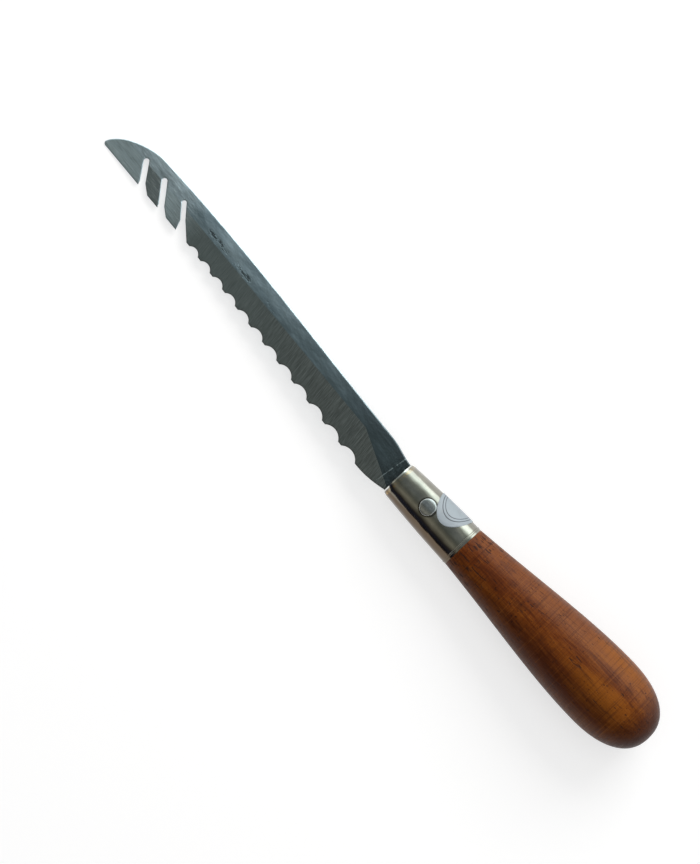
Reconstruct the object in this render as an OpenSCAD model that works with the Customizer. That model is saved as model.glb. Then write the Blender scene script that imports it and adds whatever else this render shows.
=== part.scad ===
/* [Handle] */
// Length of bare wood, from the butt to the back edge of the ferrule
grip_len = 105.6; // [90:0.1:140]
// Greatest diameter of the grip
swell_d = 33.5; // [28:0.1:40]
// Distance of the greatest diameter from the butt
swell_x = 27.5; // [20:0.5:35]
// Roundness of the butt, where 2 is an ellipse and more is squarer
butt_power = 2.35; // [2:0.05:3]
// Length over which the swell stays full toward the ferrule
swell_run = 22.5; // [12:0.5:30]
// Length over which the grip draws in to the ferrule
waist_run = 30.6; // [20:0.1:38]
// How much the grip widens over that length
waist_rise = 2.8; // [1:0.1:4.5]
// How far the wood lies below the outside of the ferrule
waist_step = 0.1; // [0:0.05:0.5]
// How far the end grain lies back inside the front rim of the ferrule
tenon_recess = 0.5; // [0.2:0.1:2]

/* [Ferrule] */
// Length of the ferrule
ferrule_len = 38; // [32:0.5:46]
// Outer diameter at its back edge
ferrule_back_d = 19.6; // [18:0.1:23]
// Outer diameter where the drawn-in front band starts
ferrule_front_d = 16.4; // [15.6:0.1:18]
// Outer diameter at the front rim
ferrule_rim_d = 15.2; // [14.4:0.1:16.2]
// Length of the drawn-in front band
ferrule_band = 2.8; // [1.5:0.1:5]
// Thickness of the sheet
ferrule_wall = 0.8; // [0.5:0.05:1.1]
// How far the side bellies out between its two ends
ferrule_belly = 0.25; // [0:0.05:0.6]
// Distance of the rolled bead from the back edge
bead_x = 1.3; // [0.8:0.1:3]
// Thickness of the bead's round section
bead_d = 0.9; // [0.6:0.1:1.4]
// How far the bead stands out of the ferrule
bead_rise = 0.2; // [0.1:0.05:0.3]
// Lean of the ferrule toward the spine side, in degrees
neck_lean = 0.8; // [0:0.1:3]

/* [Rivet] */
// Distance of the rivet from the back edge of the ferrule
rivet_x = 20.9; // [18:0.1:26]
// Diameter of the rivet's shank
rivet_d = 4; // [3:0.1:5]
// Diameter of the domed head
head_d = 6.9; // [6:0.1:8]
// Height of the domed head above the ferrule
head_rise = 1.2; // [0.8:0.1:2]
// Diameter of the closed head on the far side
tail_d = 6.2; // [5.6:0.1:7.6]
// Height of the closed head above the ferrule
tail_rise = 1; // [0.6:0.1:1.6]
// Thickness left at the rim of both heads
head_rim = 0.2; // [0.1:0.05:0.5]

/* [Label] */
// Length of the oval label along the handle
label_len = 16.4; // [10:0.2:17]
// Length of the label around the ferrule
label_wrap_len = 26.2; // [14:0.2:27]
// Distance of the label's middle from the back edge of the ferrule
label_x = 12.8; // [11:0.1:13]
// Angle of the label's middle from the top toward the spine side
label_turn = 75.5; // [75:0.5:95]
// Thickness of the paper
label_t = 0.15; // [0.1:0.05:0.3]

/* [Blade] */
// Length of the blade, from the ferrule to the tip
blade_len = 179.2; // [150:0.2:210]
// Cant of the blade toward the spine side, against the ferrule, in degrees
blade_cant = 4.6; // [0:0.1:8]
// Thickness of the spine at the ferrule, and of the tang
spine_t = 3; // [2.2:0.1:4]
// Thickness of the spine at the tip
tip_t = 1.8; // [1.2:0.1:2.2]
// Thickness left at the teeth
edge_t = 0.7; // [0.4:0.05:1]
// How far the shoulders stop short of the outside of the ferrule's rim
shoulder_inset = 0.5; // [0.1:0.05:0.7]
// Distance from the ferrule to the first tooth
heel_x = 14.4; // [10:0.1:20]
// Distance of the first tooth from the blade's axis
heel_edge = 9.7; // [8.5:0.1:12]
// Distance of the spine from the blade's axis at the heel
heel_spine = 8.6; // [7.5:0.1:10]
// Distance of the last scallop's corner from the tip
tip_zone = 53.3; // [50:0.1:60]
// Distance of that corner from the blade's axis
toe_edge = 6.8; // [6:0.1:8.5]
// Distance of the lower tip corner from the blade's axis
tip_edge = 7.7; // [6.5:0.1:9]
// Rounding of the lower tip corner
tip_round = 1.3; // [0.5:0.1:3]
// Length of the sloping nose at the tip
nose_len = 21.2; // [14:0.2:26]
// Distance of the spine from the blade's axis where the nose starts
nose_spine = 7.1; // [5.5:0.1:8.5]
// How far the spine bows out between heel and nose
spine_bow = 1.4; // [0:0.1:2]
// Width of the ground bevel, measured halfway along the scallops
bevel_w = 10.3; // [7:0.1:12.5]
// Slant of the line where the grind runs out near the ferrule, in degrees
runout_turn = 21; // [12:1:30]
// Distance of that line's start from the shoulder's corner
runout_inset = 1.3; // [0.5:0.1:3]
// How steeply the grind falls away from that line, in degrees
runout_fall = 13.5; // [10:0.5:20]
// Distance from the ferrule over which the spine keeps its full thickness
full_len = 2; // [1.5:0.5:10]

/* [Scallops] */
// Number of scallops along the edge
scallops = 12; // [8:1:14]
// How much narrower the last scallop is than the first, as a share
scallop_taper = 0.31; // [0:0.01:0.5]
// Depth of the first scallop
scallop_deep = 2.1; // [1.4:0.1:3]
// Depth of the last scallop
scallop_shallow = 1.5; // [1:0.1:2.4]
// Width of the blunt tooth left between two scallops
tooth_land = 2; // [1:0.1:3]

/* [Raker slots] */
// Number of slots near the tip
slots = 3; // [2:1:3]
// Width of the slots
slot_w = 2.3; // [1.5:0.1:3]
// Width of the last slot, the one nearest the handle
last_slot_w = 1.9; // [1.4:0.1:2.6]
// Distance of the first slot's round end from the tip
slot_first = 16.8; // [15:0.1:19]
// Distance between the round ends of the first two slots
slot_pitch = 10.8; // [9.5:0.1:11.5]
// How much wider the next pitch is
slot_spread = 1; // [0:0.1:1.5]
// Distance of the first round end from the blade's axis, on the spine side
slot_depth = 1.2; // [0:0.1:2.5]
// How much deeper each next slot goes
slot_step = 0.7; // [0:0.1:1]
// Lean of the first slot toward the handle, in degrees
slot_lean = 41; // [30:1:44]
// How much more each next slot leans
slot_lean_step = 3; // [0:0.5:5]
// Width of the chamfer on the handle-side lip of a slot
lip_w = 3.4; // [1:0.1:4]
// Height of that chamfer
lip_h = 2; // [0.5:0.1:3]
// Width of the chamfer that blunts the sharp lip of a slot
barb_w = 0.5; // [0.3:0.1:1.5]
// Height of that chamfer
barb_h = 1.4; // [0.6:0.1:2.5]
// Width of the open mouth of the last slot on the handle side
mouth_w = 7.2; // [5:0.1:8]
// Height of that mouth
mouth_h = 5.2; // [4:0.1:6]
// Width cut from the sharp lip across that mouth
mouth_barb_w = 2.4; // [1.5:0.1:3.5]
// Height of that cut
mouth_barb_h = 4; // [3:0.1:5]

/* [Tang] */
// Length of the tang inside the handle
tang_len = 72; // [55:1:90]
// Width of the tang at the shoulders
tang_w = 9.5; // [8:0.1:11]
// Width of the tang at its end
tang_end_w = 5; // [3:0.1:7]
// Gap around the tang in its socket
tang_gap = 0.1; // [0.05:0.05:0.3]
// Depth of the socket past the end of the tang
socket_spare = 1; // [0.5:0.5:4]

/* [Fit] */
// Gap around the rivet and between the wood and the ferrule
fit_gap = 0.05; // [0.02:0.01:0.1]
// Gap under the rivet heads and the label
seat_gap = 0.02; // [0.01:0.01:0.05]

/* [Hidden] */
$fn = 96;
// Reach of the cutting shapes past what they cut
past = 5;
// Steps along each drawn curve
steps = 24;
belly_steps = 10;
band_steps = 4;

// Curves
function mix(a, b, k) = a + (b - a) * k;
function curve_at(p, k) =
  pow(1 - k, 3) * p[0] + 3 * pow(1 - k, 2) * k * p[1] + 3 * (1 - k) * k * k * p[2] + pow(k, 3) * p[3];
function curve(p, n) = [for (i = [0:n]) curve_at(p, i / n)];
function tail_of(list) = [for (i = [1:len(list) - 1]) list[i]];

// Outside of the ferrule at distance s from its back edge
side_len = ferrule_len - ferrule_band;
function side_r(k) = mix(ferrule_back_d, ferrule_front_d, k) / 2 + 4 * ferrule_belly * k * (1 - k);
function band_r(k) = mix(ferrule_rim_d, ferrule_front_d, cos(90 * k)) / 2;
function ferrule_r(s) = s < side_len ? side_r(s / side_len) : band_r((s - side_len) / ferrule_band);
ferrule_stations = concat(
  [for (i = [0:belly_steps]) side_len * i / belly_steps],
  [for (i = [1:band_steps]) side_len + ferrule_band * i / band_steps]
);

// Places along the blade
toe_x = blade_len - tip_zone;
nose_x = blade_len - nose_len;
neck_half = ferrule_rim_d / 2 - shoulder_inset;
scallop_run = toe_x - heel_x;
back_z = -spine_t / 2;
edge_z = back_z + edge_t;
edge_turn = atan((toe_edge - heel_edge) / scallop_run);
function edge_y(x) = x < toe_x
  ? mix(heel_edge, toe_edge, (x - heel_x) / scallop_run)
  : mix(toe_edge, tip_edge, (x - toe_x) / (blade_len - toe_x));
function spine_t_at(x) = mix(spine_t, tip_t, (x - full_len) / (blade_len - full_len));
taper_turn = atan((spine_t - tip_t) / (blade_len - full_len));

// Outline of the blade without its scallops and slots, from the shoulder on the edge side
heel_edge_curve = [
  [0, neck_half],
  [heel_x * 0.28, mix(neck_half, heel_edge, 0.52)],
  [heel_x * 0.62, heel_edge],
  [heel_x, heel_edge]
];
nose_curve = [
  [blade_len, tip_edge - tip_round],
  [blade_len - nose_len * 0.09, -nose_spine * 0.03],
  [nose_x + nose_len * 0.36, -nose_spine * 0.92],
  [nose_x, -nose_spine]
];
spine_curve = [
  [nose_x, -nose_spine],
  [mix(nose_x, heel_x, 0.34), -mix(nose_spine, heel_spine, 0.34) - 2.1 * spine_bow],
  [mix(nose_x, heel_x, 0.67), -mix(nose_spine, heel_spine, 0.67) - 0.3 * spine_bow],
  [heel_x, -heel_spine]
];
heel_spine_curve = [
  [heel_x, -heel_spine],
  [heel_x * 0.55, -heel_spine],
  [heel_x * 0.4, -neck_half],
  [0, -neck_half]
];
tip_corner = [for (i = [0:8])
  [blade_len - tip_round, tip_edge - tip_round] + tip_round * [sin(90 * i / 8), cos(90 * i / 8)]];
outline = concat(
  [[-past, neck_half]],
  curve(heel_edge_curve, steps / 2),
  [[toe_x, toe_edge]],
  tip_corner,
  tail_of(curve(nose_curve, steps)),
  tail_of(curve(spine_curve, steps)),
  tail_of(curve(heel_spine_curve, steps / 2)),
  [[-past, -neck_half]]
);

// The part stands with its lowest point on the ground and the middle of its box over the origin
function turn(p, a) = [p[0] * cos(a) - p[1] * sin(a), p[0] * sin(a) + p[1] * cos(a)];
function on_handle(p) =
  [grip_len, 0] + turn([ferrule_len, 0] + turn(p, -blade_cant), -neck_lean);
blade_points = [for (p = outline) on_handle(p)];
x_high = max([for (p = blade_points) p[0]]);
y_low = min([for (p = blade_points) p[1]]);
y_high = max([for (p = blade_points) p[1]]);
middle = [x_high / 2, (min(y_low, -swell_d / 2) + max(y_high, swell_d / 2)) / 2, -swell_d / 2];

module in_place() {
  translate(-middle) children();
}

module at_neck() {
  translate([grip_len, 0, 0]) rotate([0, 0, -neck_lean]) children();
}

module at_blade() {
  at_neck() translate([ferrule_len, 0, 0]) rotate([0, 0, -blade_cant]) children();
}

// A shape turned about the X axis, from points of distance along it and radius
module turned(points) {
  rotate([0, 90, 0]) rotate_extrude() polygon([for (p = points) [p[1], p[0]]]);
}

// Everything inside the ferrule's outer surface, grown by some amount
module ferrule_form(grow, from, to) {
  inside = [for (s = ferrule_stations) if (s > from && s < to) s];
  stations = concat([from], inside, [to]);
  turned(concat(
    [[from, 0]],
    [for (s = stations) [s, ferrule_r(s) + grow]],
    [[to, 0]]
  ));
}

module rivet_hole() {
  translate([rivet_x, 0, 0])
    cylinder(d = rivet_d + 2 * fit_gap, h = ferrule_back_d + 2 * past, center = true);
}

// Handle
module grip_form() {
  waist_r = ferrule_back_d / 2 - waist_step;
  swell_r = swell_d / 2;
  butt = [for (i = [0:steps])
    let (a = 90 * i / steps)
    [swell_x * (1 - cos(a)), swell_r * pow(1 - pow(cos(a), butt_power), 1 / butt_power)]];
  side = curve([
    [swell_x, swell_r],
    [swell_x + swell_run, swell_r],
    [grip_len - waist_run, waist_r + waist_rise],
    [grip_len, waist_r]
  ], steps);
  turned(concat(butt, tail_of(side), [[grip_len + past, waist_r], [grip_len + past, 0]]));
}

// The tang, or its socket with a gap around it and some spare depth
module tang_form(gap, forward, spare) {
  front = ferrule_len + forward;
  end = ferrule_len - tang_len - spare;
  function half(s) = mix(tang_w, tang_end_w, (ferrule_len - s) / tang_len) / 2 + gap;
  linear_extrude(height = spine_t + 2 * gap, center = true)
    polygon([[front, half(front)], [front, -half(front)], [end, -half(end)], [end, half(end)]]);
}

module handle() {
  tenon_gap = -ferrule_wall - fit_gap;
  color("sienna") in_place() difference() {
    union() {
      difference() {
        grip_form();
        at_neck() translate([0, -swell_d / 2, -swell_d / 2]) cube([4 * past, swell_d, swell_d]);
      }
      at_neck() ferrule_form(tenon_gap, -past, ferrule_len - tenon_recess);
    }
    at_neck() tang_form(tang_gap, past, socket_spare);
    at_neck() rivet_hole();
  }
}

// Ferrule
module ferrule() {
  bead_r = ferrule_r(bead_x) + bead_rise - bead_d / 2;
  color("darkkhaki") in_place() at_neck() difference() {
    union() {
      ferrule_form(0, 0, ferrule_len);
      rotate([0, 90, 0]) rotate_extrude() translate([bead_r, bead_x]) circle(d = bead_d);
    }
    ferrule_form(-ferrule_wall, -past, ferrule_len + past);
    rivet_hole();
  }
}

// Rivet
module rivet_head(d, rise) {
  top = ferrule_r(rivet_x) + rise;
  dome = rise - head_rim;
  dome_r = (d * d / 4 + dome * dome) / (2 * dome);
  intersection() {
    cylinder(d = d, h = top);
    translate([0, 0, top - dome_r]) sphere(r = dome_r);
  }
}

module rivet() {
  color("silver") in_place() at_neck() union() {
    translate([rivet_x, 0, 0])
      cylinder(d = rivet_d, h = 2 * ferrule_r(rivet_x) + head_rim, center = true);
    difference() {
      translate([rivet_x, 0, 0]) {
        rivet_head(head_d, head_rise);
        rotate([180, 0, 0]) rivet_head(tail_d, tail_rise);
      }
      ferrule_form(seat_gap, rivet_x - head_d, rivet_x + head_d);
    }
  }
}

// Label
module label() {
  oval = [for (i = [0:steps * 2 - 1])
    let (a = 180 * i / steps, x = label_x + label_len / 2 * cos(a), r = ferrule_r(x) + seat_gap)
    [x, r * sin(label_wrap_len / 2 * sin(a) / r * 180 / PI)]];
  color("lightsteelblue") in_place() at_neck() intersection() {
    difference() {
      ferrule_form(seat_gap + label_t, 0, ferrule_len);
      ferrule_form(seat_gap, -past, ferrule_len + past);
    }
    rotate([label_turn, 0, 0]) linear_extrude(height = ferrule_back_d) polygon(oval);
  }
}

// Blade
module scallop_cuts() {
  first_pitch = scallop_run / scallops / (1 - scallop_taper / 2);
  function pitch(i) = first_pitch * (1 - scallop_taper * i / (scallops - 1));
  function start(i) = i == 0 ? heel_x : start(i - 1) + pitch(i - 1);
  for (i = [0:scallops - 1]) {
    half = (pitch(i) - tooth_land) / 2;
    deep = mix(scallop_deep, scallop_shallow, i / (scallops - 1));
    r = (half * half + deep * deep) / (2 * deep);
    x = start(i) + pitch(i) / 2;
    translate([x, edge_y(x) - deep + r, 0]) cylinder(r = r, h = spine_t + 2 * past, center = true);
  }
}

// One slot: a round end, two straight walls, and a chamfer on each lip where it opens at the edge
module slot_cut(i) {
  last = i == slots - 1;
  w = last ? last_slot_w : slot_w;
  lip = last ? [mouth_w, mouth_h] : [lip_w, lip_h];
  barb = last ? [mouth_barb_w, mouth_barb_h] : [barb_w, barb_h];
  lean = slot_lean + i * slot_lean_step;
  along = [-sin(lean), cos(lean)];
  across = [-cos(lean), -sin(lean)] * w / 2;
  x = blade_len - slot_first - i * slot_pitch - slot_spread * i * (i - 1) / 2;
  end = [x, -slot_depth - i * slot_step];
  function on_wall(side, y) = end + side * across + along * (y - end[1] - side * across[1]) / along[1];
  lip_start = on_wall(1, toe_edge - lip[1]);
  barb_start = on_wall(-1, toe_edge - barb[1]);
  barb_end = on_wall(-1, toe_edge) + [barb[0], 0];
  translate([0, 0, -spine_t / 2 - past]) linear_extrude(height = spine_t + 2 * past) polygon([
    end - across,
    end + across,
    lip_start,
    lip_start + [-lip[0], lip[1]] * (1 + past / lip[1]),
    barb_end + (barb_end - barb_start) * past / barb[1],
    barb_start
  ]);
  translate([end[0], end[1], 0]) cylinder(d = w, h = spine_t + 2 * past, center = true);
}

// Space above the flat of the blade, which thins toward the tip
module taper_cut() {
  translate([full_len, -2 * heel_edge, spine_t / 2]) rotate([0, taper_turn, 0])
    cube([blade_len + past, 4 * heel_edge, spine_t]);
}

// Space above a plane that falls away to the edge side of a line through the given point
module above_slope(point, line_turn, fall) {
  translate(point) rotate([0, 0, line_turn]) rotate([-fall, 0, 0])
    translate([-blade_len, -blade_len, 0]) cube([3 * blade_len, 2 * blade_len, blade_len]);
}

// Space above the ground bevel, which runs out in a slope near the ferrule
module bevel_cut() {
  drop = spine_t_at((heel_x + toe_x) / 2) - edge_t;
  intersection() {
    above_slope([heel_x, heel_edge, edge_z], edge_turn, atan(drop / bevel_w));
    above_slope([0, neck_half - runout_inset, spine_t / 2], -runout_turn, runout_fall);
  }
}

module blade() {
  color("slategray") in_place() difference() {
    union() {
      difference() {
        at_blade() difference() {
          linear_extrude(height = spine_t, center = true) polygon(outline);
          taper_cut();
          bevel_cut();
          scallop_cuts();
          for (i = [0:slots - 1]) slot_cut(i);
        }
        // The shoulders lie flat on the rim of the ferrule
        at_neck() translate([0, -2 * heel_edge, -spine_t]) cube([ferrule_len, 4 * heel_edge, 2 * spine_t]);
      }
      at_neck() tang_form(0, full_len / 2, 0);
    }
    at_neck() rivet_hole();
  }
}

handle();
ferrule();
rivet();
label();
blade();
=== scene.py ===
import math

import bpy
from mathutils import Matrix, Vector


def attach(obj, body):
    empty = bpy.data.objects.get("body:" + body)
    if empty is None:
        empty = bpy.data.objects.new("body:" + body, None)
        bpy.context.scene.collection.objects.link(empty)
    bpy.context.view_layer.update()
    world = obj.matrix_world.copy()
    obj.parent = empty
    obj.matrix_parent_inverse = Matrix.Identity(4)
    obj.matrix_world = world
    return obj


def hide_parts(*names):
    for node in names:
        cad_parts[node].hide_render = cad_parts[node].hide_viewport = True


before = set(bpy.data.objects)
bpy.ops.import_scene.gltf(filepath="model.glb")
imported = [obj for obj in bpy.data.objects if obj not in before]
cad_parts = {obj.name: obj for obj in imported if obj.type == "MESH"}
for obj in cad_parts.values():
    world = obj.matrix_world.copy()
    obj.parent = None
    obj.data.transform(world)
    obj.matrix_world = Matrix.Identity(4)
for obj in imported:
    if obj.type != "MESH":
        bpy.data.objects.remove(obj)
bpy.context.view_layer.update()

MM = 0.001

# Sizes of the part in millimetres, in a drawing whose X axis runs from the butt to the tip
# and whose Y axis points to the toothed side
GRIP_LEN = 105.6
SWELL_R = 16.75
SWELL_X = 27.5
SWELL_RUN = 22.5
WAIST_RUN = 30.6
WAIST_RISE = 2.8
WAIST_STEP = 0.1
BUTT_POWER = 2.35
TENON_RECESS = 0.5
TENON_GAP = 0.05
FERRULE_LEN = 38.0
BACK_R = 9.8
FRONT_R = 8.2
RIM_R = 7.6
BAND = 2.8
WALL = 0.8
BELLY = 0.25
BEAD_X = 1.3
BEAD_R = 0.45
BEAD_RISE = 0.2
BEAD_END = 2.75
SIDE_END = 0.2
NECK_LEAN = math.radians(0.8)
BLADE_CANT = math.radians(5.4)
RIVET_X = 20.9
RIVET_HEAD_R = 3.75
LABEL_X = 12.8
LABEL_TURN = math.radians(75.5)
LABEL_R = 9.65
TIP_X = 322.6
MIDDLE = Vector((161.302, -2.859, -SWELL_R))

# Fineness of the turned meshes, and the depth and pitches of the marks of turning
SEGMENTS = 192
SHARP = math.radians(40)
BUTT_STEPS = 48
BEND_STEPS = 120
TENON_STEPS = 12
BEAD_STEP = 0.05
SIDE_STEPS = 60
BAND_STEPS = 24
TURNED_DEPTH = 0.012
TURNED_PITCH = (5.1, 1.7)


def row(u, y, z):
    """A point of the drawing in the row frame, in metres."""
    return (Vector((u, y, z)) - MIDDLE) * MM


def at_neck(s, y, z):
    """A point of the ferrule's own frame in the row frame."""
    c, d = math.cos(NECK_LEAN), math.sin(NECK_LEAN)
    return row(GRIP_LEN + s * c + y * d, y * c - s * d, z)


def mix(a, b, k):
    return a + (b - a) * k


def bezier(p, k):
    j = 1 - k
    a, b, c, d = j**3, 3 * j * j * k, 3 * j * k * k, k**3
    return [a * p[0][i] + b * p[1][i] + c * p[2][i] + d * p[3][i] for i in (0, 1)]


def linked(name, data):
    """A new object in the scene that holds the data."""
    made = bpy.data.objects.new(name, data)
    bpy.context.scene.collection.objects.link(made)
    return made


def rings_mesh(name, rings, closed=False, ends=()):
    """A mesh through rings of equal length, closed at its ends by points or joined end to end."""
    count = len(rings[0])
    verts = [p for ring in rings for p in ring]
    faces = []
    for i in range(len(rings) if closed else len(rings) - 1):
        a, b = i * count, (i + 1) % len(rings) * count
        for j in range(count):
            k = (j + 1) % count
            faces.append((a + j, a + k, b + k, b + j))
    for point, start in zip(ends, (0, (len(rings) - 1) * count)):
        verts.append(point)
        tip = len(verts) - 1
        for j in range(count):
            a, b = start + j, start + (j + 1) % count
            faces.append((b, a, tip) if start == 0 else (a, b, tip))
    mesh = bpy.data.meshes.new(name)
    mesh.from_pydata([tuple(v) for v in verts], [], faces)
    mesh.validate()
    mesh.shade_smooth()
    mesh.set_sharp_from_angle(angle=SHARP)
    return linked(name, mesh)


def circle(place, s, r):
    turn = 2 * math.pi / SEGMENTS
    return [place(s, r * math.cos(turn * j), r * math.sin(turn * j)) for j in range(SEGMENTS)]


def side_r(k):
    return mix(BACK_R, FRONT_R, k) + 4 * BELLY * k * (1 - k)


def ferrule_r(s):
    """Outer radius of the ferrule, without its bead, at a distance from its back edge."""
    side = FERRULE_LEN - BAND
    if s < side:
        return side_r(max(s, 0) / side)
    return mix(RIM_R, FRONT_R, math.cos(math.pi / 2 * (s - side) / BAND))


def grip():
    """The grip, turned to the solid's profile, with its tenon inside the ferrule."""
    waist_r = BACK_R - WAIST_STEP
    profile = []
    for i in range(1, BUTT_STEPS + 1):
        a = math.pi / 2 * i / BUTT_STEPS
        r = SWELL_R * (1 - math.cos(a) ** BUTT_POWER) ** (1 / BUTT_POWER)
        profile.append((SWELL_X * (1 - math.cos(a)), r))
    bend = [[SWELL_X, SWELL_R], [SWELL_X + SWELL_RUN, SWELL_R],
            [GRIP_LEN - WAIST_RUN, waist_r + WAIST_RISE], [GRIP_LEN, waist_r]]
    profile += [bezier(bend, i / BEND_STEPS) for i in range(1, BEND_STEPS + 1)]

    def place(s, y, z):
        on_cut = GRIP_LEN + y * math.tan(NECK_LEAN)
        return row(min(s, on_cut) if s < GRIP_LEN else on_cut, y, z)

    def marked(s, r):
        waves = math.prod(math.sin(s * pitch) for pitch in TURNED_PITCH)
        return r - TURNED_DEPTH * (waves + 1)

    rings = [circle(place, s, marked(s, r)) for s, r in profile]
    front = FERRULE_LEN - TENON_RECESS
    for s in [TENON_GAP] + [front * i / TENON_STEPS for i in range(1, TENON_STEPS + 1)]:
        rings.append(circle(at_neck, s, ferrule_r(s) - WALL - TENON_GAP))
    return rings_mesh("grip", rings, ends=(row(0, 0, 0), at_neck(front, 0, 0)))


def ferrule():
    """The ferrule: its eased back edge, bead, side, drawn-in band and rim, then its inner face."""
    side = FERRULE_LEN - BAND
    stations = [BEAD_STEP * i for i in range(1, round(BEAD_END / BEAD_STEP) + 1)]
    stations += [BEAD_END + (side - BEAD_END - SIDE_END) * i / SIDE_STEPS
                 for i in range(1, SIDE_STEPS + 1)]
    stations += [side + BAND * i / BAND_STEPS for i in range(BAND_STEPS)]
    outer = [(0.0, ferrule_r(0) - 0.12), (0.02, ferrule_r(0) - 0.04)]
    for s in stations:
        r = ferrule_r(s)
        off = abs(s - BEAD_X)
        if off < BEAD_R:
            r = max(r, ferrule_r(BEAD_X) + BEAD_RISE - BEAD_R + math.sqrt(BEAD_R**2 - off**2))
        outer.append((s, r))
    rim = ferrule_r(FERRULE_LEN)
    outer += [(FERRULE_LEN - 0.1, rim + 0.01), (FERRULE_LEN - 0.03, rim - 0.05),
              (FERRULE_LEN, rim - 0.16), (FERRULE_LEN, rim - WALL + 0.16),
              (FERRULE_LEN - 0.05, rim - WALL + 0.03)]
    inner = [(s, ferrule_r(s) - WALL) for s in (37.5, 36.5, 35.2, 28, 20, 12, 6, 0.1)]
    inner.append((0.0, ferrule_r(0) - WALL + 0.08))
    return rings_mesh("ferrule_sleeve", [circle(at_neck, s, r) for s, r in outer + inner], closed=True)


def srgb(r, g, b):
    """A colour of 8-bit sRGB values, as the nodes take it."""
    values = (c / 255 / 12.92 if c < 11 else ((c / 255 + 0.055) / 1.055) ** 2.4 for c in (r, g, b))
    return tuple(values) + (1.0,)


class Paint:
    """Short calls for the nodes of one material, or of the world."""

    def __init__(self, name, tree=None):
        if tree is None:
            self.material = bpy.data.materials.new(name)
            self.material.use_nodes = True
            tree = self.material.node_tree
        self.tree = tree
        self.shader = tree.nodes.get("Principled BSDF")

    def feed(self, socket, value):
        if isinstance(value, bpy.types.NodeSocket):
            self.tree.links.new(value, socket)
        else:
            socket.default_value = value

    def add(self, kind, values=None, **settings):
        made = self.tree.nodes.new("ShaderNode" + kind)
        for key, value in settings.items():
            setattr(made, key, value)
        for key, value in (values or {}).items():
            self.feed(made.inputs[key], value)
        return made

    def math(self, operation, *values, clamp=False):
        made = self.add("Math", operation=operation, use_clamp=clamp)
        for socket, value in zip(made.inputs, values):
            self.feed(socket, value)
        return made.outputs[0]

    def times(self, *values):
        product = values[0]
        for value in values[1:]:
            product = self.math("MULTIPLY", product, value)
        return product

    def plus(self, *values, clamp=False):
        total = values[0]
        for value in values[1:-1]:
            total = self.math("ADD", total, value)
        return self.math("ADD", total, values[-1], clamp=clamp)

    def minus(self, a, b):
        return self.math("SUBTRACT", a, b)

    def most(self, *values):
        largest = values[0]
        for value in values[1:]:
            largest = self.math("MAXIMUM", largest, value)
        return largest

    def away(self, value, centre):
        return self.math("ABSOLUTE", self.minus(value, centre))

    def length(self, a, b):
        squares = [self.math("POWER", self.math("ABSOLUTE", value), 2.0) for value in (a, b)]
        return self.math("SQRT", self.plus(*squares))

    def dot(self, a, b):
        made = self.add("VectorMath", {0: a, 1: b}, operation="DOT_PRODUCT")
        return made.outputs["Value"]

    def span(self, value, low, high, start=0.0, end=1.0):
        """A smooth step from start to end while the value goes from low to high."""
        made = self.add("MapRange", interpolation_type="SMOOTHSTEP")
        given = {"Value": value, "From Min": low, "From Max": high, "To Min": start, "To Max": end}
        for key, number in given.items():
            self.feed(made.inputs[key], number)
        return made.outputs[0]

    def near(self, value, centre, reach, core):
        """1 within the core round the centre, and 0 past the reach."""
        return self.span(self.away(value, centre), reach, core)

    def mix(self, factor, a, b):
        """A mix of two colours: sockets, 8-bit sRGB values, or linear values with an alpha."""
        made = self.add("Mix", data_type="RGBA")
        self.feed(made.inputs[0], factor)
        for socket, value in zip(made.inputs[6:8], (a, b)):
            self.feed(socket, srgb(*value) if isinstance(value, tuple) and len(value) == 3 else value)
        return made.outputs[2]

    def over(self, colour, mask, share, tint):
        """The colour with a tint over it, as strong as the mask times the share."""
        return self.mix(self.times(mask, share), colour, tint)

    def ramp(self, factor, stops):
        made = self.add("ValToRGB", {"Fac": factor})
        points = made.color_ramp.elements
        while len(points) < len(stops):
            points.new(0.5)
        for point, (at, colour) in zip(points, stops):
            point.position = at
            point.color = colour
        return made.outputs["Color"]

    def place(self, origin, turn):
        """Coordinates in millimetres in a frame with the given origin, turned about the vertical."""
        coords = self.add("TexCoord").outputs["Object"]
        given = {"Vector": coords, "Location": origin, "Rotation": (0, 0, turn), "Scale": (MM, MM, MM)}
        return self.add("Mapping", given, vector_type="TEXTURE").outputs[0]

    def split(self, vector):
        return self.add("SeparateXYZ", {0: vector}).outputs

    def noise(self, vector, scale, detail, roughness, shift=(0, 0, 0)):
        """Noise with a scale per millimetre along each axis."""
        moved = self.add("Mapping", {"Vector": vector, "Location": shift, "Scale": scale}).outputs[0]
        given = {"Vector": moved, "Scale": 1.0, "Detail": detail, "Roughness": roughness}
        return self.add("TexNoise", given).outputs[0]

    def rounded(self, radius):
        """Normals that round the edges over a radius in metres."""
        return self.add("Bevel", {"Radius": radius}, samples=8).outputs[0]

    def bump(self, height, distance, normal=None):
        made = self.add("Bump", {"Height": height, "Distance": distance, "Strength": 1.0})
        if normal is not None:
            self.feed(made.inputs["Normal"], normal)
        return made.outputs[0]

    def finish(self, colour, roughness, normal=None, **fixed):
        self.feed(self.shader.inputs["Base Color"], colour)
        self.feed(self.shader.inputs["Roughness"], roughness)
        if normal is not None:
            self.feed(self.shader.inputs["Normal"], normal)
        for key, value in fixed.items():
            self.shader.inputs[key.replace("_", " ")].default_value = value
        return self.material


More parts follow.
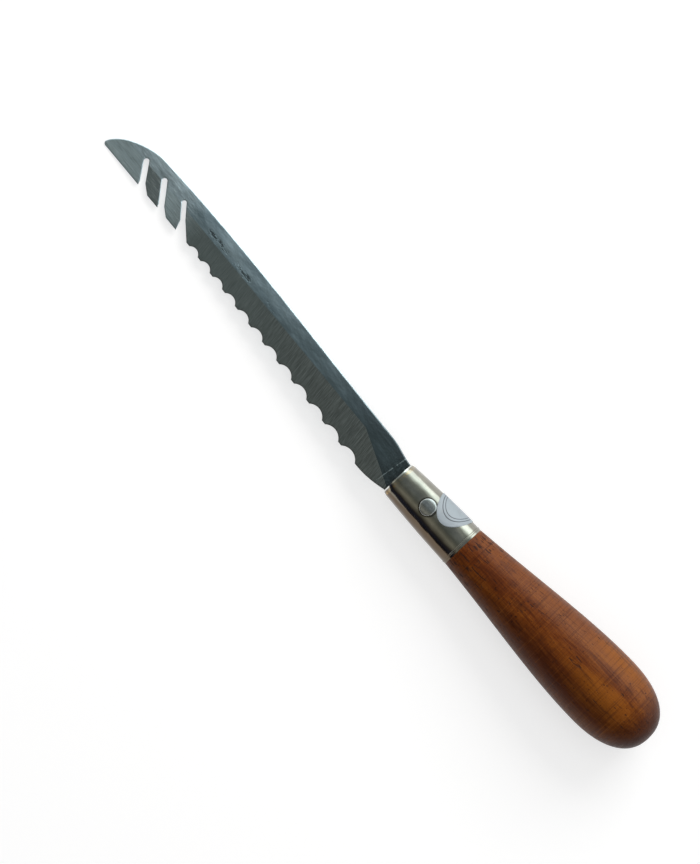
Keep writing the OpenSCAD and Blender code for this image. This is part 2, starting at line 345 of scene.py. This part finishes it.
# Turned wood, with places in millimetres from the butt
GOLD_X = 27.0
DASHES_X = (84.0, 100.0)
DOT_RING_X = 71.0
WOOD_TONES = [(0.30, (70, 24, 0)), (0.44, (104, 46, 0)), (0.54, (126, 63, 1)), (0.68, (146, 80, 10))]
LIT_SIDE, LIT_SIDE_PALE = (106, 54, 22), (148, 92, 54)
GOLD = (160, 92, 8)
SHADED = (50, 14, 0)
DARK_BUTT = (50, 15, 0)
DARK_STREAK = (60, 21, 2)
LATHE_DARK, LATHE_PALE = (70, 27, 4), (164, 98, 40)
PORE_DASH, PORE_DOT = (52, 24, 12), (46, 16, 8)
PALE_FLECK = (182, 122, 72)


def wood():
    p = Paint("turned_wood")
    mm = p.place(row(0, 0, 0), 0)
    x, y, _ = p.split(mm)
    fibre = p.noise(mm, (0.05, 1.5, 1.5), 9, 0.62)
    figure = p.noise(mm, (0.028, 0.14, 0.14), 5, 0.55, (3, 1, 2))
    streak = p.noise(mm, (0.02, 0.55, 0.55), 6, 0.6, (7, 0, 5))
    lathe = p.noise(mm, (1.9, 0.03, 0.03), 5, 0.7, (0, 4, 1))
    weave = p.noise(mm, (1.0, 1.0, 1.0), 6, 0.7, (2, 8, 3))
    dash = p.noise(mm, (0.24, 1.15, 1.15), 2, 0.4, (5, 9, 1))
    dots = p.noise(mm, (0.9, 1.1, 1.1), 1, 0.3, (1, 3, 6))

    # Broad tones: painted light on the spine side, gold on the swell, painted shade on the toothed
    # side and the dark butt
    tone = p.plus(p.times(figure, 0.5), p.times(fibre, 0.5))
    colour = p.ramp(tone, [(at, srgb(*rgb)) for at, rgb in WOOD_TONES])
    # Painted light: the spine side of the grip made paler, as if lit from that side
    colour = p.over(colour, p.span(y, -2.0, -11.0), 0.6, p.mix(fibre, LIT_SIDE, LIT_SIDE_PALE))
    gold = p.times(p.near(x, GOLD_X, 24.0, 2.0), p.span(figure, 0.35, 0.6))
    colour = p.over(colour, gold, 0.45, GOLD)
    # Painted shade: the toothed side of the grip made darker
    colour = p.over(colour, p.span(y, -1.0, 11.0), 0.6, SHADED)
    butt = p.span(p.plus(x, p.times(figure, 10.0)), 22.0, 6.0)
    colour = p.over(colour, butt, 0.85, DARK_BUTT)

    # Streaks along the grain, and the lines of turning round it
    colour = p.over(colour, p.span(streak, 0.54, 0.66), 0.6, DARK_STREAK)
    colour = p.over(colour, p.span(lathe, 0.50, 0.64), 0.55, LATHE_DARK)
    colour = p.over(colour, p.span(lathe, 0.44, 0.34), 0.2, LATHE_PALE)

    # Pores: dashes that gather near the ferrule, dots that gather in a ring, and pale flecks
    limit = p.minus(0.69, p.times(p.span(x, *DASHES_X), 0.12))
    dashes = p.times(p.span(p.minus(dash, limit), 0.0, 0.03), 0.85)
    colour = p.mix(dashes, colour, PORE_DASH)
    ring = p.times(p.near(x, DOT_RING_X, 12.0, 2.0), 0.05)
    colour = p.over(colour, p.span(p.plus(dots, ring), 0.735, 0.765), 0.8, PORE_DOT)
    colour = p.over(colour, p.span(weave, 0.70, 0.80), 0.35, PALE_FLECK)

    height = p.plus(p.times(lathe, 0.55), p.times(fibre, 0.6))
    height = p.minus(height, p.times(dashes, 0.35))
    rough = p.plus(0.42, p.times(p.minus(fibre, 0.5), 0.5))
    rough = p.plus(rough, p.times(dashes, 0.2), clamp=True)
    return p.finish(colour, rough, p.bump(height, 0.00016), Specular_IOR_Level=0.14)


# Drawn sheet metal, with places in millimetres from the ferrule's back edge
SHEET, SHEET_PALE = (146, 145, 136), (164, 162, 152)
SCUFFED = (108, 102, 86)
PAINTED_BROWN_REFLECTION = (88, 69, 50)
RIVET_CONTACT_SHADOW = (52, 50, 42)
PAINTED_RIM_HIGHLIGHT = (236, 238, 234)
PAINTED_GOLD_GLINT = (214, 176, 96)
GROOVE_SHADE = (66, 58, 40)


def ferrule_metal():
    p = Paint("drawn_sheet")
    mm = p.place(at_neck(0, 0, 0), -NECK_LEAN)
    x, y, _ = p.split(mm)
    drawn = p.noise(mm, (0.12, 5.0, 5.0), 4, 0.6)
    smudge = p.noise(mm, (0.16, 0.2, 0.2), 5, 0.6, (4, 2, 7))
    dent = p.noise(mm, (0.09, 0.13, 0.13), 2, 0.4, (1, 6, 3))
    scuff = p.noise(mm, (0.5, 6.0, 6.0), 3, 0.6, (9, 1, 1))

    # Sheet with scuffs, and a painted brown reflection on the toothed side
    colour = p.mix(p.span(smudge, 0.36, 0.66), SHEET, SHEET_PALE)
    colour = p.over(colour, p.span(scuff, 0.62, 0.74), 0.35, SCUFFED)
    # Painted reflection: brown on the toothed side, as if the sheet mirrored a brown surface
    colour = p.over(colour, p.span(p.plus(y, smudge), 6.0, 7.6), 0.85, PAINTED_BROWN_REFLECTION)

    # Painted shadow round the rivet, a painted highlight on the rim, painted gold glints in the band
    # behind it and painted shade in the grooves beside the bead
    from_rivet = p.length(p.minus(x, RIVET_X), y)
    # Painted shadow: a dark ring on the sheet round the rivet's head
    colour = p.over(colour, p.near(from_rivet, RIVET_HEAD_R, 0.45, 0.1), 0.75, RIVET_CONTACT_SHADOW)
    # Painted highlight: a bright line along the front rim
    rim = p.span(x, FERRULE_LEN - 0.75, FERRULE_LEN - 0.45)
    colour = p.over(colour, rim, 0.8, PAINTED_RIM_HIGHLIGHT)
    # Painted reflection: gold glints in the band behind the rim
    gold_glints = p.times(p.near(x, FERRULE_LEN - 1.7, 0.9, 0.3), p.span(drawn, 0.5, 0.62))
    colour = p.over(colour, gold_glints, 0.7, PAINTED_GOLD_GLINT)
    # Painted shade: dark rings either side of the bead
    groove_shade = p.minus(p.near(x, BEAD_X, 0.7, 0.4), p.near(x, BEAD_X, 0.34, 0.12))
    colour = p.over(colour, groove_shade, 0.4, GROOVE_SHADE)

    rough = p.plus(0.09, p.times(p.span(smudge, 0.4, 0.7), 0.06))
    rough = p.plus(rough, p.times(p.span(scuff, 0.58, 0.72), 0.12))
    height = p.plus(p.times(dent, 0.8), p.times(drawn, 0.006))
    return p.finish(colour, rough, p.bump(height, 0.0005), Metallic=1.0)


def rivet_metal():
    p = Paint("bright_rivet")
    mm = p.place(at_neck(RIVET_X, 0, 0), -NECK_LEAN)
    wear = p.noise(mm, (0.9, 0.9, 0.9), 5, 0.6)
    peen = p.noise(mm, (0.35, 0.35, 0.35), 2, 0.5, (3, 3, 3))
    colour = p.mix(p.span(wear, 0.4, 0.62), (168, 172, 172), (184, 188, 188))
    rough = p.plus(0.09, p.times(wear, 0.08))
    return p.finish(colour, rough, p.bump(peen, 0.00008, p.rounded(0.0007)), Metallic=1.0)


# Printed paper: half lengths, half heights and line widths of its two ovals, in millimetres
OVALS = ((6.8, 10.0, 0.34), (5.8, 8.6, 0.28))
PAPER_GREY, PAPER_PALE = (152, 163, 171), (176, 187, 194)
PAPER_STAIN = (134, 137, 142)
PRINT_BLUE = (50, 56, 70)


def label_paper():
    p = Paint("printed_paper")
    mm = p.place(at_neck(0, 0, 0), -NECK_LEAN)
    x, y, z = p.split(mm)
    angle = p.math("ARCTAN2", p.times(y, -1.0), z)
    arc = p.times(p.minus(angle, LABEL_TURN), LABEL_R)
    along = p.minus(x, LABEL_X)
    pulp = p.noise(mm, (2.2, 2.2, 2.2), 6, 0.65)
    stain = p.noise(mm, (0.22, 0.22, 0.22), 4, 0.6, (2, 5, 1))

    def oval(half_len, half_wrap, width):
        share = p.length(p.math("DIVIDE", along, half_len), p.math("DIVIDE", arc, half_wrap))
        return p.span(p.times(p.away(share, 1.0), half_wrap), width, width * 0.45)

    colour = p.mix(pulp, PAPER_GREY, PAPER_PALE)
    colour = p.over(colour, p.span(stain, 0.48, 0.7), 0.3, PAPER_STAIN)
    colour = p.over(colour, p.most(*[oval(*sizes) for sizes in OVALS]), 0.85, PRINT_BLUE)
    rough = p.plus(0.42, p.times(pulp, 0.2))
    return p.finish(colour, rough, p.bump(pulp, 0.00004))


# Forged steel, with places in millimetres along the blade from the ferrule's rim
GRIND_SLANT = 0.22
TOE_X = (118.0, 142.0)
NECK_X = (17.0, 8.0)
NICK_X = 4.2
RAKER_SLANT = 0.87
RAKER_X = 155.8
GRIND_LINE_Y = -3.1
SCALE_PATCHES = ((119.0, 10.0, 4.0, 1.0), (103.0, 9.0, 3.0, 1.0), (84.0, 9.0, 3.0, 0.5))
STEEL, STEEL_PALE = (154, 174, 184), (192, 212, 222)
GRAIN_DARK = (104, 116, 120)
TOE_STEEL, TOE_STEEL_PALE = (196, 216, 226), (232, 246, 252)
HEEL_STEEL = (104, 119, 125)
NECK_STEEL = (72, 82, 86)
LOW_STEEL = (84, 98, 102)
GROUND, GROUND_PALE = (98, 104, 104), (140, 148, 148)
MID_GROUND = (132, 148, 152)
TOE_GROUND, TOE_GROUND_PALE = (176, 196, 204), (208, 226, 234)
RAKER_SHADE = (112, 118, 118)
SPARK = (190, 198, 198)
SCRATCH_PALE, SCRATCH_DARK = (214, 226, 230), (92, 106, 110)
FORGE_SCALE = (52, 60, 62)
NICK_PALE = (170, 184, 188)
SLOT_WALL_SHADE = (70, 62, 52)
SPINE_EDGE_HIGHLIGHT = (222, 236, 242)


def blade_steel():
    p = Paint("forged_steel")
    mm = p.place(at_neck(FERRULE_LEN, 0, 0), -BLADE_CANT)
    x, y, z = p.split(mm)
    toothed_side = (math.sin(BLADE_CANT), math.cos(BLADE_CANT), 0)
    spine_side = (-math.sin(BLADE_CANT), -math.cos(BLADE_CANT), 0)
    face = p.add("NewGeometry").outputs["True Normal"]
    up = p.split(face)[2]
    ground = p.times(p.span(p.dot(face, toothed_side), 0.05, 0.10), p.span(up, 0.7, 0.9))

    cloud = p.noise(mm, (0.06, 0.16, 0.4), 5, 0.6)
    grain = p.noise(mm, (1.6, 1.6, 1.6), 7, 0.7, (3, 1, 4))
    hammer = p.noise(mm, (0.10, 0.16, 0.16), 3, 0.5, (6, 2, 8))
    slanted = p.add("CombineXYZ", {0: p.plus(x, p.times(y, GRIND_SLANT)), 1: y, 2: z}).outputs[0]
    cross = p.noise(slanted, (4.2, 0.16, 0.4), 5, 0.7, (5, 5, 5))
    coarse = p.noise(slanted, (1.3, 0.07, 0.2), 4, 0.6, (8, 3, 2))
    long_marks = p.noise(mm, (0.16, 5.0, 2.0), 5, 0.7, (2, 7, 9))
    patch = p.noise(mm, (0.34, 0.75, 0.7), 6, 0.72, (4, 4, 1))
    pits = p.noise(mm, (1.1, 1.1, 1.1), 5, 0.7, (7, 7, 2))
    toe = p.span(x, *TOE_X)
    neck = p.span(p.plus(x, p.times(cloud, 8.0)), *NECK_X)

    # The forged band beside the spine: pale at the toe, darker toward the neck and the grind
    band = p.mix(p.span(cloud, 0.3, 0.7), STEEL, STEEL_PALE)
    band = p.over(band, p.span(grain, 0.5, 0.72), 0.25, GRAIN_DARK)
    band = p.over(band, p.span(x, 130.0, 150.0), 0.9, p.mix(grain, TOE_STEEL, TOE_STEEL_PALE))
    band = p.over(band, p.span(x, 120.0, 40.0), 0.8, HEEL_STEEL)
    band = p.over(band, p.span(x, 50.0, 14.0), 0.8, NECK_STEEL)
    band = p.over(band, p.span(y, -7.0, -3.0), 0.4, LOW_STEEL)

    # The ground bevel: marks across it, paler at the toe; its darker tone is partly its grind and
    # partly a painted darker reflection, with painted shade on the raker between the slots
    # Partly painted reflection: the bevel's base is darker than the band, as if it mirrored a darker
    # room, and partly its ground finish
    bevel = p.mix(p.span(cross, 0.34, 0.68), GROUND, GROUND_PALE)
    bevel = p.over(bevel, p.span(x, 40.0, 120.0), 0.35, MID_GROUND)
    bevel = p.over(bevel, p.span(x, 124.0, 146.0), 0.85, p.mix(cloud, TOE_GROUND, TOE_GROUND_PALE))
    # Painted shade: the raker tooth between the slots made darker
    raker_shade = p.near(p.plus(x, p.times(y, RAKER_SLANT)), RAKER_X, 4.8, 4.2)
    bevel = p.over(bevel, raker_shade, 0.75, RAKER_SHADE)

    colour = p.mix(ground, band, bevel)
    sparks = p.times(p.span(cross, 0.68, 0.8), 0.5)
    colour = p.over(colour, sparks, ground, SPARK)
    scratch = p.times(p.span(long_marks, 0.54, 0.66), toe, 0.75)
    colour = p.mix(scratch, colour, SCRATCH_PALE)
    colour = p.over(colour, p.times(p.span(long_marks, 0.47, 0.36), toe), 0.6, SCRATCH_DARK)

    # Forge scale left in patches beside the bevel, on the neck, loosely elsewhere and on the back
    patches = p.most(*[p.times(p.near(x, at, reach, core), share)
                       for at, reach, core, share in SCALE_PATCHES])
    where = p.times(p.near(y, GRIND_LINE_Y, 2.4, 0.5), patches)
    scale = p.times(p.span(p.plus(patch, p.times(where, 0.16)), 0.64, 0.70), where)
    pitted = p.plus(pits, p.times(cloud, 0.5))
    neck_scale = p.times(neck, p.span(pitted, 0.66, 0.92, 1.0, 0.45))
    loose = p.times(p.span(patch, 0.70, 0.76), 0.5)
    clouded = p.plus(cloud, p.times(patch, 0.4))
    back_scale = p.times(p.span(up, -0.3, -0.6), p.span(clouded, 0.62, 0.80), 0.75)
    dark = p.most(scale, neck_scale, loose, back_scale)
    dark = p.times(dark, p.minus(1.0, p.times(ground, 0.92)))
    colour = p.over(colour, dark, 0.86, FORGE_SCALE)

    # A scored line on the neck, painted brown shade on the walls in the slots and a painted highlight
    # along the spine's edges
    line = p.near(x, p.plus(NICK_X, p.times(y, 0.06)), 0.28, 0.1)
    colour = p.over(colour, line, p.times(p.span(pits, 0.4, 0.55), 0.6), NICK_PALE)
    # Painted shade: side walls on the toothed side, as in the slots, made dark brown
    wall_shade = p.times(p.span(p.math("ABSOLUTE", up), 0.5, 0.2), p.span(y, -1.5, -0.5))
    colour = p.over(colour, wall_shade, 0.55, SLOT_WALL_SHADE)
    soft = p.rounded(0.001)
    # Painted highlight: a bright line on the rounded edges along the spine
    spine_highlight = p.span(p.dot(soft, spine_side), 0.06, 0.30)
    colour = p.over(colour, spine_highlight, p.span(x, 10.0, 60.0, 0.2, 0.85), SPINE_EDGE_HIGHLIGHT)

    rough = p.plus(0.30, p.times(cloud, 0.12), p.times(ground, 0.08), p.times(dark, 0.28), clamp=True)
    forged = p.times(p.minus(1.0, ground), p.plus(hammer, p.times(grain, 0.05)))
    marks = p.times(ground, p.plus(p.times(cross, 0.045), p.times(coarse, 0.09)))
    height = p.plus(forged, marks, p.times(scratch, 0.05))
    height = p.minus(height, p.times(dark, 0.10))
    return p.finish(colour, rough, p.bump(height, 0.0006, soft), Metallic=1.0)


# The pieces: grip and ferrule are turned again in finer steps, the rest keeps the solids' shapes
grip_piece = grip()
grip_piece.data.materials.append(wood())
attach(grip_piece, "root")
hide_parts("handle")

sleeve = ferrule()
sleeve.data.materials.append(ferrule_metal())
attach(sleeve, "root")
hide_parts("ferrule")

for name, made in (("rivet", rivet_metal()), ("label", label_paper()), ("blade", blade_steel())):
    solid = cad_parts[name]
    if not solid.material_slots:
        solid.data.materials.append(made)
    for held in solid.material_slots:
        held.material = made

# Floor: the tool lies on its swell and on the tip of its blade, so the floor rises toward the tip
REST_X = 28.9
TIP_RISE = 15.25
SLOPE = math.atan2(TIP_RISE, TIP_X - REST_X)
FLOOR_HALF = 6.0
FLOOR_GAP = 0.05 * MM
FLOOR_DARK, FLOOR_PALE = (0.50, 0.50, 0.50, 1), (0.53, 0.53, 0.53, 1)
FLOOR_GLOW = 0.62
WORLD_LIGHT = 0.40
WHITE = (1, 1, 1, 1)
CORNERS = ((-1, -1), (1, -1), (1, 1), (-1, 1))

floor_mesh = bpy.data.meshes.new("floor")
floor_mesh.from_pydata([(a * FLOOR_HALF, b * FLOOR_HALF, 0) for a, b in CORNERS], [], [(0, 1, 2, 3)])
floor = linked("floor", floor_mesh)
rest = row(REST_X, 0, -SWELL_R) - Vector((0, 0, FLOOR_GAP))
floor.matrix_world = Matrix.Translation(rest) @ Matrix.Rotation(-SLOPE, 4, "Y")


def shown_white(paint, lit, white):
    """A plain level for the object's light, and white where the camera or a reflection sees it."""
    path = paint.add("LightPath").outputs
    seen = paint.most(path["Is Camera Ray"], path["Is Glossy Ray"], path["Is Transmission Ray"])
    return paint.plus(lit, paint.times(seen, white - lit))


paper = Paint("floor_white")
speckle = paper.add("TexNoise", {"Scale": 3.0, "Detail": 3.0}).outputs[0]
tone = paper.mix(speckle, FLOOR_DARK, FLOOR_PALE)
paper.finish(tone, 0.9, Specular_IOR_Level=0.1, Emission_Color=WHITE)
paper.feed(paper.shader.inputs["Emission Strength"], shown_white(paper, 0.0, FLOOR_GLOW))
floor_mesh.materials.append(paper.material)

world = bpy.data.worlds.new("studio")
bpy.context.scene.world = world
world.use_nodes = True
sky = Paint("studio", world.node_tree)
back = world.node_tree.nodes["Background"]
back.inputs["Color"].default_value = WHITE
sky.feed(back.inputs["Strength"], shown_white(sky, WORLD_LIGHT, 1.0))

# A tent of soft panels over the floor that only reflections show, with a window on the spine side.
# Each panel has its angle from the top, in degrees toward the toothed side, and its light.
TENT_R = 0.9
TENT_HALF = 2.2
TENT_STEPS = 60
PEAK = 3.0
PANELS = [
    (-91, (1.9, 2.05, 2.05)), (-82, (2.6, 2.8, 2.8)), (-66, (2.7, 3.0, 3.0)), (-54, (1.0, 1.12, 1.1)),
    (-44, (0.36, 0.40, 0.38)), (-24, (0.25, 0.275, 0.28)), (-8, (0.23, 0.255, 0.26)),
    (3, (0.19, 0.21, 0.20)), (12, (0.15, 0.16, 0.15)), (24, (0.22, 0.22, 0.19)),
    (38, (0.34, 0.33, 0.28)), (52, (0.17, 0.16, 0.13)), (64, (0.035, 0.03, 0.03)),
    (80, (0.02, 0.025, 0.05)), (91, (0.10, 0.08, 0.06)),
]
FIRST, LAST = PANELS[0][0], PANELS[-1][0]

verts = []
for i in range(TENT_STEPS + 1):
    a = math.radians(mix(FIRST, LAST, i / TENT_STEPS))
    verts += [(end, TENT_R * math.sin(a), TENT_R * math.cos(a)) for end in (-TENT_HALF, TENT_HALF)]
faces = [(2 * i, 2 * i + 1, 2 * i + 3, 2 * i + 2) for i in range(TENT_STEPS)]
tent_mesh = bpy.data.meshes.new("light_tent")
tent_mesh.from_pydata(verts, [], faces)
tent = linked("light_tent", tent_mesh)
glow = Paint("light_tent")
_, across, height = glow.split(glow.add("TexCoord").outputs["Object"])
angle = glow.times(glow.math("ARCTAN2", across, height), 180 / math.pi)
share = glow.math("DIVIDE", glow.minus(angle, FIRST), LAST - FIRST)
panels = [((a - FIRST) / (LAST - FIRST), tuple(c / PEAK for c in rgb) + (1,)) for a, rgb in PANELS]
light = glow.add("Emission", {"Color": glow.ramp(share, panels), "Strength": PEAK}).outputs[0]
glow.feed(glow.tree.nodes["Material Output"].inputs["Surface"], light)
tent_mesh.materials.append(glow.material)
tent.visible_camera = tent.visible_diffuse = tent.visible_shadow = False
tent.visible_transmission = tent.visible_volume_scatter = False

# Soft lamps: name, place and size in metres, power in watts and tint
LAMPS = (
    ("key", (0.10, -0.95, 0.75), (0.9, 0.7), 8.5, (1.0, 0.99, 0.97)),
    ("top", (-0.20, -0.15, 1.25), (0.8, 0.8), 2.0, (0.97, 0.99, 1.0)),
)
for name, place, size, power, tint in LAMPS:
    lamp = bpy.data.lights.new(name, "AREA")
    lamp.shape = "RECTANGLE"
    lamp.size, lamp.size_y = size
    lamp.energy = power
    lamp.color = tint
    box = linked(name, lamp)
    box.location = place
    box.rotation_euler = (-Vector(place)).to_track_quat("-Z", "Y").to_euler()

# Camera: 46 degrees round from the tool, a little from the butt and from the toothed side
AIM = row(170.0, 0.35, 0.0)
AHEAD = math.radians(3.2)
ASIDE = math.radians(4.5)
ROUND = math.radians(45.88)
REACH = 1.7
FRAME_HEIGHT = 0.3448
SENSOR = 36.0

toward = Vector((-math.tan(AHEAD), math.tan(ASIDE), 1)).normalized()
right = Vector((math.sin(ROUND), -math.cos(ROUND), 0)).cross(toward).normalized()
up = toward.cross(right)
place = AIM + toward * REACH
camera = bpy.data.cameras.new("camera")
camera.sensor_width = SENSOR
camera.lens = SENSOR * REACH / FRAME_HEIGHT
holder = linked("camera", camera)
turned = [(right[i], up[i], toward[i], place[i]) for i in range(3)]
holder.matrix_world = Matrix(turned + [(0, 0, 0, 1)])
bpy.context.scene.camera = holder
bpy.context.scene.view_settings.view_transform = "Standard"
